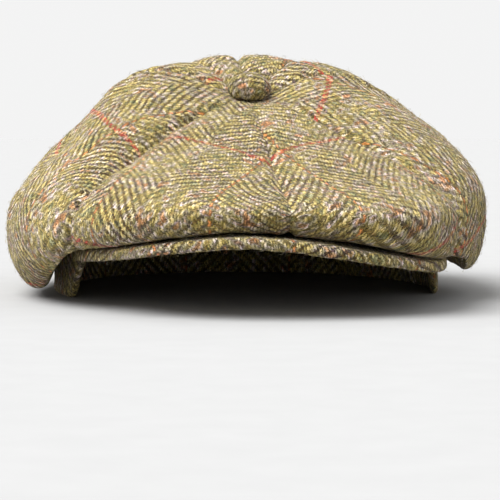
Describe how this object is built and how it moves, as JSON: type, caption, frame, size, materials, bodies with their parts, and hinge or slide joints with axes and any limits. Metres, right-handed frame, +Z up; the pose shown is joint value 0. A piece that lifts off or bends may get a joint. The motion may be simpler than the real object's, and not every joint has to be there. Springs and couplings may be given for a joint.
{
  "type": "eight-panel flat cap",
  "caption": "Soft full flat cap of wedge-shaped tweed panels gathered on a headband, with a small stiff peak under its front roll and a covered button on top.",
  "frame": {"origin": "middle of the underside of the cap's box, on the surface that its headband rests on", "axes": "+Z up, the peak toward -Y, +X to the right of someone who faces the peak"},
  "size_m": [0.2042, 0.2676, 0.1021],
  "materials": {
    "crown_tweed": "woolly herringbone tweed",
    "button_tweed": "woolly herringbone tweed",
    "peak_tweed": "woolly herringbone tweed",
    "band_tweed": "woolly herringbone tweed"
  },
  "bodies": {
    "root": {"crown_front_right": "crown_tweed", "crown_side_front_right": "crown_tweed", "crown_side_back_right": "crown_tweed", "crown_back_right": "crown_tweed", "crown_back_left": "crown_tweed", "crown_side_back_left": "crown_tweed", "crown_side_front_left": "crown_tweed", "crown_front_left": "crown_tweed", "button": "button_tweed", "peak": "peak_tweed", "band": "band_tweed"}
  },
  "joints": []
}
